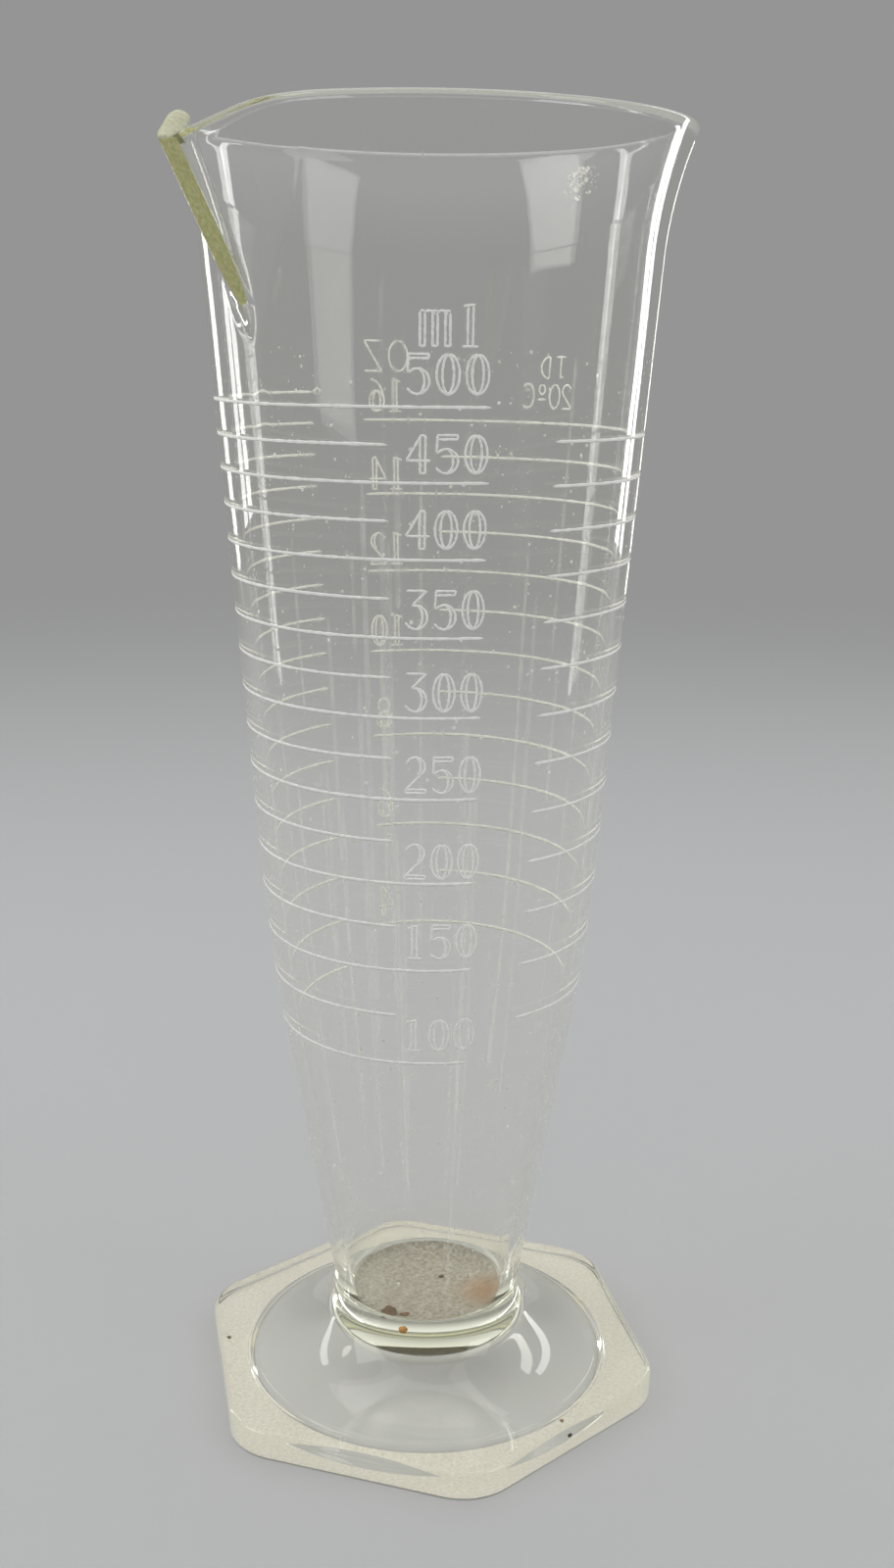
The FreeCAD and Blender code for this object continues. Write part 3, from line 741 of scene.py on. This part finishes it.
# The unit marks: the plain unit over each scale and, opposite the spout, the mark of a glass that
# delivers its volume and the temperature at which it is true. They are etched as the numerals are.
marks = lettered("ml", 232.9, foot=0.2139, tall=0.0061, wide=0.0061, pitch=0.0062)
marks += lettered("OZ", 62.5, foot=0.2086, tall=0.0058, wide=0.0056, pitch=0.0057)
marks += lettered("TD", 8.7, foot=0.2076, tall=0.0041, wide=0.0042, pitch=0.0040)
marks += lettered("20oC", 10.0, foot=0.202, tall=0.0045, wide=0.0044, pitch=0.0033, doubled=False)
etched("unit_marks", marks, figure_stroke, etched_white)


# The dust: fine dry specks all over the outside of the cup, each a flat lump of six sides, and a
# chalky smudge of them under the rim, opposite the spout.
speck_count = 2200
speck_least = 0.0001
speck_spread = 0.0003
speck_thick = 0.00004
speck_zone = (0.03, 0.2135)
smudge_count = 160
smudge_angle = math.radians(6.4)
smudge_wide = 0.045
smudge_top = 0.2462
smudge_deep = 0.0028

speck_angle = chance.uniform(0, 2 * math.pi, speck_count)
speck_z = chance.uniform(*speck_zone, speck_count)
speck_angle = np.append(speck_angle, smudge_angle + chance.normal(0, smudge_wide, smudge_count))
speck_z = np.append(speck_z, smudge_top - np.abs(chance.normal(0, smudge_deep, smudge_count)))
all_specks = len(speck_z)
speck_size = (speck_least + speck_spread * chance.random(all_specks) ** 4)[:, None]
speck_middle = turned(outer_wall(speck_z), speck_angle, speck_z)
out_way = turned(1.0, speck_angle, 0.0)
side_way = turned(1.0, speck_angle + math.pi / 2, 0.0)
speck_corners = []
for turn in np.radians(np.arange(0, 360, 60)):
    way = side_way * math.cos(turn) + np.array([0, 0, math.sin(turn)])
    speck_corners.append(speck_middle + way * speck_size * chance.uniform(0.7, 1.3, (all_specks, 1)))
speck_corners += [speck_middle + out_way * speck_thick, speck_middle - out_way * speck_thick]
fan = [(k, (k + 1) % 6, 6) for k in range(6)] + [((k + 1) % 6, k, 7) for k in range(6)]
speck_faces = (np.array(fan) + 8 * np.arange(all_specks)[:, None, None]).reshape(-1, 3)
specks = new_object("dust_specks", np.stack(speck_corners, 1), speck_faces.tolist(), smooth=False)
specks.data.materials.append(matt_material("dry_dust", (300.0, 0.35, 0.65), (0.72, 0.7, 0.64),
                                           (0.92, 0.91, 0.87), 0.95))
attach(specks, "root")


# The drip marks: faint upright streaks that dried on the outside of the cup, thin enough to see
# through, each with a slight waver.
drip_count = 40
drip_width = 0.0009
drip_points = 24
drip_waver = 0.0004
drip_tops = (0.11, 0.212)
drip_lengths = (0.02, 0.11)
drip_lowest = 0.03
drip_runs = []
for _ in range(drip_count):
    drip_angle = chance.uniform(0, 2 * math.pi)
    drip_top = chance.uniform(*drip_tops)
    drip_foot = max(drip_lowest, drip_top - chance.uniform(*drip_lengths))
    drip_z = np.linspace(drip_top, drip_foot, drip_points)
    drip_runs.append((drip_angle + drip_waver * np.cumsum(chance.normal(0, 1, drip_points)), drip_z))
dried_drips = matt_material("dried_drips", (240.0, 0.3, 0.75), (0.8, 0.79, 0.75), (0.92, 0.92, 0.9),
                            0.8, cover=(0.01, 0.17))
etched("drip_marks", drip_runs, drip_width, dried_drips)


# The residue: a thin grey-beige film that dried on the floor of the cup and a little way up its
# corner, with an orange-brown stain at one side.
residue_depth = 0.000008
film_gap = 0.00004
film_end = -0.5
stain_middle = (0.008, -0.0115, 0.019)
stain_reach = 0.0085
stain_core = 0.002
stain_colour = (0.27, 0.14, 0.05, 1)


def dried_residue():
    """The film's material: mottled grey, thin in places, with the stain worn into its patches."""
    made, tree, out, place = new_material("dried_residue")
    stain_at = add_node(tree, "ShaderNodeVectorMath", {0: place, 1: stain_middle}, operation="DISTANCE")
    stain = add_node(tree, "ShaderNodeMapRange", {
        "Value": stain_at.outputs["Value"], "From Min": stain_reach, "From Max": stain_core})
    mottled = grit_mask(tree, place, 1100.0, 0.32, 0.66)
    patchy = add_node(tree, "ShaderNodeMapRange", {"Value": mottled, "To Min": 0.55, "To Max": 1.0})
    stained = maths(tree, "MULTIPLY", stain.outputs["Result"], patchy.outputs["Result"])
    grey_film = two_colours(tree, mottled, (0.18, 0.16, 0.12), (0.42, 0.39, 0.33))
    colour = add_node(tree, "ShaderNodeMix", {"Factor": stained, "A": grey_film, "B": stain_colour},
                      data_type="RGBA")
    cover = add_node(tree, "ShaderNodeMapRange", {
        "Value": grit_mask(tree, place, 500.0, 0.3, 0.6), "To Min": 0.7, "To Max": 0.98})
    crust = add_node(tree, "ShaderNodeBsdfPrincipled", {
        "Base Color": colour.outputs["Result"], "Roughness": 0.9, "Alpha": cover.outputs["Result"]})
    tree.links.new(crust.outputs[0], out.inputs["Surface"])
    return made


flat_film = np.stack([np.linspace(0.0004, corner_r, 16), np.full(16, floor_height + film_gap)], 1)
round_film = arc(corner_centre, floor_corner - film_gap, -math.pi / 2, film_end, 9)
film = np.vstack([flat_film, round_film[1:]])
thin_skin("cup_residue", turned(film[:, 0], angle[:, None], film[:, 1]), np.array([0.0, 0.0, 1.0]),
          residue_depth, True, dried_residue())


# The crumbs: small dry lumps of dirt, some stuck to the floor of the cup, one on the outside of
# the neck and three specks on the foot, each in its own brown.
def crumb(name, centre, across, tall, colour, seed):
    """A small lump: a ball flattened to across and tall, its radius uneven by low waves."""
    turn, tilt = np.meshgrid(np.linspace(0, 2 * math.pi, 25)[:-1], np.linspace(math.pi, 0.0, 13)[1:-1])
    waves = np.random.default_rng(seed)
    size = 1 + sum(waves.uniform(0.05, 0.16) * np.sin(k * turn + waves.uniform(0, 6)) * np.sin(tilt)
                   for k in (2, 3, 5))
    ball = turned(across * size * np.sin(tilt), turn, tall * size * (1 + np.cos(tilt)) / 2)
    top = (centre[0], centre[1], centre[2] + tall)
    piece = closed_surface(name, centre + ball, centre, top)
    darker = tuple(0.55 * part for part in colour)
    piece.data.materials.append(matt_material(name + "_dirt", (2500.0, 0.35, 0.65), colour, darker, 0.9))
    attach(piece, "root")


speck_base = plate_height - 0.0001
crumb("brown_crumb", (-0.0136, -0.0039, floor_height), 0.0017, 0.0009, (0.13, 0.075, 0.035), 1)
crumb("small_crumb", (-0.0118, -0.0066, floor_height), 0.0008, 0.0005, (0.2, 0.11, 0.05), 4)
crumb("orange_flake", (-0.0166, -0.0115, 0.0185), 0.0009, 0.0014, (0.55, 0.27, 0.08), 2)
crumb("dark_dot", (0.0043, 0.0, floor_height), 0.0006, 0.0004, (0.05, 0.045, 0.04), 3)
crumb("foot_speck", (-0.0347, 0.0267, speck_base), 0.0005, 0.0004, (0.2, 0.14, 0.08), 5)
crumb("edge_speck", (-0.001, -0.0456, 0.0037), 0.00045, 0.0008, (0.1, 0.06, 0.04), 6)
crumb("plate_speck", (-0.0009, -0.0432, speck_base), 0.00045, 0.0004, (0.3, 0.2, 0.12), 7)


# The stage: a pale floor that runs into a grey backdrop, a dome that is bright above and five soft
# lamps. None of it is part of the object.
grey = (0.3, 0.3, 0.3, 1)
sky = (0.85, 0.86, 0.88, 1)
floor_half = 6
floor_level = -0.0003
fade_start = 0.2
fade_end = 1.3
dome_low = 0.22
dome_high = 0.6
glass_middle = Vector((0, 0, 0.12))
corners = [(x * floor_half, y * floor_half, floor_level) for x, y in ((-1, -1), (1, -1), (1, 1), (-1, 1))]
floor = new_object("floor", corners, [(0, 1, 2, 3)], smooth=False)
floor_grey, tree, out, place = new_material("floor_grey")
matt = add_node(tree, "ShaderNodeBsdfPrincipled", {
    "Base Color": (0.4, 0.4, 0.4, 1), "Roughness": 0.9, "Specular IOR Level": 0.1})
far = add_node(tree, "ShaderNodeEmission", {"Color": grey})
away = add_node(tree, "ShaderNodeVectorMath", {0: place}, operation="LENGTH")
fade = add_node(tree, "ShaderNodeMapRange", {
    "Value": away.outputs["Value"], "From Min": fade_start, "From Max": fade_end},
    interpolation_type="SMOOTHSTEP")
blend = add_node(tree, "ShaderNodeMixShader", {
    0: fade.outputs["Result"], 1: matt.outputs[0], 2: far.outputs[0]})
tree.links.new(blend.outputs[0], out.inputs["Surface"])
floor.data.materials.append(floor_grey)

world = bpy.data.worlds.new("studio")
bpy.context.scene.world = world
world.use_nodes = True
tree = world.node_tree
look = add_node(tree, "ShaderNodeTexCoord").outputs["Generated"]
upward = add_node(tree, "ShaderNodeSeparateXYZ", {0: look})
dome = add_node(tree, "ShaderNodeValToRGB", {"Fac": upward.outputs["Z"]})
for stop, rise, colour in zip(dome.color_ramp.elements, (dome_low, dome_high), (grey, sky)):
    stop.position = rise
    stop.color = colour
tree.links.new(dome.outputs["Color"], tree.nodes["Background"].inputs["Color"])


def soft_lamp(name, place, power, width, tall):
    """A soft box that faces the middle of the glass."""
    data = bpy.data.lights.new(name, "AREA")
    data.shape = "RECTANGLE"
    data.size = width
    data.size_y = tall
    data.energy = power
    lamp = bpy.data.objects.new(name, data)
    lamp.location = place
    lamp.rotation_euler = (glass_middle - lamp.location).to_track_quat("-Z", "Y").to_euler()
    bpy.context.scene.collection.objects.link(lamp)


soft_lamp("key_lamp", (-1.1, 0.5, 0.9), 5.5, 0.7, 1.0)
soft_lamp("left_edge_lamp", (-0.3, 1.0, 0.4), 1.6, 0.09, 1.1)
soft_lamp("right_edge_lamp", (1.0, 0.05, 0.4), 1.6, 0.09, 1.1)
soft_lamp("fill_lamp", (0.4, -1.1, 0.7), 3.0, 0.6, 0.9)
soft_lamp("top_lamp", (0.1, 0.2, 1.2), 2.5, 0.9, 0.9)


# The camera stands just below the height of the rim and looks down at the foot.
camera_place = (-0.2107, -0.2389, 0.21482)
camera_heading = math.radians(47.5 - 90)
camera_tilt = math.radians(90 - 19.82)
camera_roll = 0.012
view = bpy.data.cameras.new("camera")
camera = bpy.data.objects.new("camera", view)
bpy.context.scene.collection.objects.link(camera)
view.sensor_fit = "VERTICAL"
view.sensor_height = 36.0
view.lens = 37.98
view.shift_x = -0.00715
view.shift_y = 0.09726
view.clip_start = 0.01
camera.matrix_world = (Matrix.Translation(camera_place) @ Matrix.Rotation(camera_heading, 4, "Z")
                       @ Matrix.Rotation(camera_tilt, 4, "X") @ Matrix.Rotation(camera_roll, 4, "Z"))
bpy.context.scene.camera = camera
bpy.context.scene.view_settings.view_transform = "Standard"
